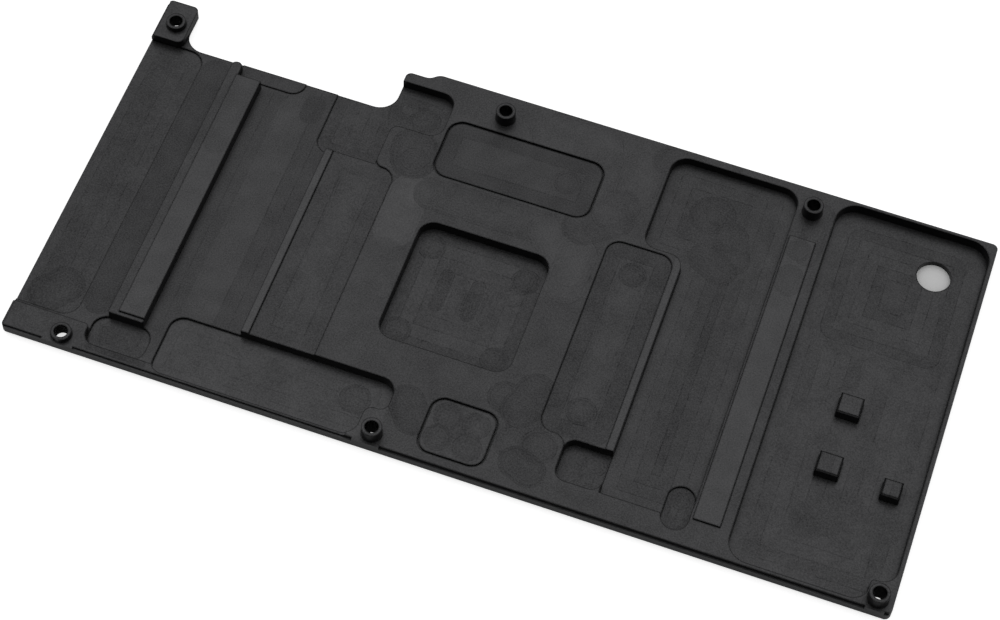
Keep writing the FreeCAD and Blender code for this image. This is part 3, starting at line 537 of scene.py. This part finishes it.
    def swirls(self, tree: Tree, place: Socket) -> Socket:
        """Draw the fine arcs that a turning cutter leaves as it is fed along.

        The real arcs lie about 0.1 mm apart. They are drawn wider, so that they show.

        Args:
            tree: The material's tree.
            place: Position on the plate in mm.

        Returns:
            A value around zero, from -0.5 to 0.5.
        """
        turns = add_node(tree, "ShaderNodeTexVoronoi", {"voronoi_dimensions": "2D"},
                         {"Vector": place, "Scale": 1 / self.swirl_mm, "Randomness": 1.0})
        rings = add_node(tree, "ShaderNodeMath", {"operation": "MULTIPLY"},
                         {0: turns.outputs["Distance"],
                          1: self.swirl_mm / self.ring_mm}).outputs[0]
        wave = add_node(tree, "ShaderNodeMath", {"operation": "PINGPONG"},
                        {0: rings, 1: 0.5}).outputs[0]
        shade = add_node(tree, "ShaderNodeSeparateColor", {},
                         {0: turns.outputs["Color"]}).outputs[0]
        both = add_node(tree, "ShaderNodeMath", {"operation": "MULTIPLY_ADD"},
                        {0: shade, 1: 0.25, 2: wave}).outputs[0]
        return add_node(tree, "ShaderNodeMath", {"operation": "SUBTRACT"},
                        {0: both, 1: 0.37}).outputs[0]

    def lay(
        self, tree: Tree, group: Tree, place: Socket, under: Any, wear: Socket, mark: CutterPass
    ) -> tuple[Socket, Socket]:
        """Lay one stroke of the cutter over the tone so far.

        Args:
            tree: The material's tree.
            group: The stroke's node group.
            place: Position on the plate in mm.
            under: Tone so far.
            wear: How much of the stroke's edge is left at this place, from 0 to 1.
            mark: The stroke.

        Returns:
            The new tone, and the place for the next mark.
        """
        node = add_node(tree, "ShaderNodeGroup", {"node_tree": group},
                        {"Place": place, "Under": under, "Start": (*mark.start, 0.0),
                         "End": (*mark.end, 0.0), "Radius": mark.radius, "Tone": mark.tone,
                         "Edge": -mark.edge, "Wear": wear})
        return node.outputs["Over"], node.outputs["Onward"]


@dataclass
class Backplate:
    """The milled plate itself, which the frame brings with it."""

    node: str = "backplate"
    finish: AnodisedAluminium = field(default_factory=AnodisedAluminium)

    def dress(self) -> bpy.types.Object:
        """Give the plate its finish.

        Returns:
            The plate's object.
        """
        plate = next(o for o in bpy.context.scene.objects if o.get("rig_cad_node") == self.node)
        material = self.finish.build()
        if not plate.material_slots:
            plate.data.materials.append(material)
        for slot in plate.material_slots:
            slot.material = material
        LOG.info("dressed %s with %s", plate.name, material.name)
        return plate


@dataclass(frozen=True)
class PaperFloor:
    """Matt white paper. It looks white to the camera and still takes the plate's shadow."""

    name: str = "matt white paper"
    colour: str = "#cbcbcb"
    lift: float = 0.70
    shade_reach: float = 0.15
    plate_half: tuple[float, float, float] = (0.110, 0.0528, 0.0)
    window_place: tuple[float, float, float] = (0.0971, 0.0402, 0.0)
    window_reach: float = 0.010

    def build(self) -> bpy.types.Material:
        """Make the material.

        Returns:
            The finished material.
        """
        material = bpy.data.materials.new(self.name)
        material.use_nodes = True
        tree = material.node_tree
        tree.nodes.clear()
        paper = add_node(tree, "ShaderNodeBsdfDiffuse", {}, {"Color": linear(self.colour)})
        rays = add_node(tree, "ShaderNodeLightPath").outputs
        # Under the round opening the paper lies in the plate's shade, and isn't lifted.
        place = add_node(tree, "ShaderNodeTexCoord").outputs["Object"]
        folded = add_node(tree, "ShaderNodeVectorMath", {"operation": "ABSOLUTE"},
                          {0: place}).outputs[0]
        past = add_node(tree, "ShaderNodeVectorMath", {"operation": "SUBTRACT"},
                        {0: folded, 1: self.plate_half}).outputs[0]
        sides = add_node(tree, "ShaderNodeSeparateXYZ", {}, {0: past}).outputs
        outside = add_node(tree, "ShaderNodeMath", {"operation": "MAXIMUM"},
                           {0: sides["X"], 1: sides["Y"]}).outputs[0]
        from_window = add_node(tree, "ShaderNodeVectorMath", {"operation": "DISTANCE"},
                               {0: place, 1: self.window_place}).outputs["Value"]
        open_air = add_node(tree, "ShaderNodeMath", {"operation": "GREATER_THAN"},
                            {0: from_window, 1: self.window_reach}).outputs[0]
        lit = add_node(tree, "ShaderNodeMath", {"operation": "MULTIPLY"},
                       {0: rays["Is Camera Ray"], 1: open_air}).outputs[0]
        # What the metal mirrors close to its own foot is the plate's soft shadow.
        clear = add_node(tree, "ShaderNodeMapRange", {},
                         {"Value": outside, "From Min": 0.0,
                          "From Max": self.shade_reach}).outputs[0]
        indirect = add_node(tree, "ShaderNodeMath", {"operation": "MAXIMUM"},
                            {0: rays["Is Glossy Ray"], 1: rays["Is Transmission Ray"]}).outputs[0]
        mirrored = add_node(tree, "ShaderNodeMath", {"operation": "MULTIPLY"},
                            {0: indirect, 1: clear}).outputs[0]
        lifted = add_node(tree, "ShaderNodeMath", {"operation": "MAXIMUM"},
                          {0: lit, 1: mirrored}).outputs[0]
        lift = add_node(tree, "ShaderNodeMath", {"operation": "MULTIPLY"},
                        {0: lifted, 1: self.lift}).outputs[0]
        glow = add_node(tree, "ShaderNodeEmission", {}, {"Strength": lift}).outputs[0]
        both = add_node(tree, "ShaderNodeAddShader", {}, {0: paper.outputs[0], 1: glow}).outputs[0]
        add_node(tree, "ShaderNodeOutputMaterial", {}, {"Surface": both})
        return material


@dataclass
class Studio:
    """Floor, light and camera."""

    floor_reach: float = 6.0
    floor_drop_mm: float = 0.02
    world_strength: float = 0.60
    lamp_power: float = 8.4
    lamp_size: float = 2.4
    lamp_place: tuple[float, float, float] = (-0.2, 0.6, 1.3)
    image_width: float = 1000.0
    focal_px: float = 2562.75
    sensor_mm: float = 36.0
    camera_mm: tuple[float, float, float] = (85.10, -312.50, 534.15)
    right: tuple[float, float, float] = (0.94413, 0.32739, 0.03780)
    up: tuple[float, float, float] = (-0.29978, 0.80550, 0.51118)
    back: tuple[float, float, float] = (0.13691, -0.49395, 0.85864)
    clip: tuple[float, float] = (0.01, 20.0)
    paper: PaperFloor = field(default_factory=PaperFloor)

    def lay_floor(self) -> None:
        """Lay the paper under the plate."""
        bpy.ops.object.select_all(action="DESELECT")
        drop = (0.0, 0.0, -self.floor_drop_mm * MM)
        bpy.ops.mesh.primitive_plane_add(size=self.floor_reach, location=drop)
        floor = bpy.context.active_object
        floor.name = "studio_floor"
        bpy.ops.object.transform_apply(location=True, rotation=True, scale=True)
        floor.data.materials.append(self.paper.build())
        LOG.info("laid %s", floor.name)

    def light(self) -> None:
        """Light the plate with an even white room and one soft lamp behind it."""
        world = bpy.data.worlds.new("white room")
        bpy.context.scene.world = world
        world.use_nodes = True
        tree = world.node_tree
        tree.nodes.clear()
        sky = add_node(tree, "ShaderNodeBackground", {},
                       {"Color": (1.0, 1.0, 1.0, 1.0), "Strength": self.world_strength})
        add_node(tree, "ShaderNodeOutputWorld", {}, {"Surface": sky.outputs[0]})
        lamp = bpy.data.lights.new("soft box", "AREA")
        lamp.energy = self.lamp_power
        lamp.size = self.lamp_size
        holder = bpy.data.objects.new("soft box", lamp)
        bpy.context.scene.collection.objects.link(holder)
        holder.location = self.lamp_place
        LOG.info("lit the plate")

    def set_camera(self) -> None:
        """Look from the photograph's angle."""
        data = bpy.data.cameras.new("camera")
        data.sensor_width = self.sensor_mm
        data.lens = self.sensor_mm * self.focal_px / self.image_width
        camera = bpy.data.objects.new("camera", data)
        bpy.context.scene.collection.objects.link(camera)
        turn = Matrix((self.right, self.up, self.back)).transposed().to_4x4()
        camera.matrix_world = Matrix.Translation(Vector(self.camera_mm) * MM) @ turn
        data.clip_start, data.clip_end = self.clip
        bpy.context.scene.camera = camera
        LOG.info("set the camera")


def main() -> None:
    """Build the scene."""
    logging.basicConfig(level=logging.INFO, format="%(message)s")
    bpy.context.scene.view_settings.view_transform = "Standard"
    Backplate().dress()
    studio = Studio()
    studio.lay_floor()
    studio.light()
    studio.set_camera()


if __name__ == "__main__":
    main()
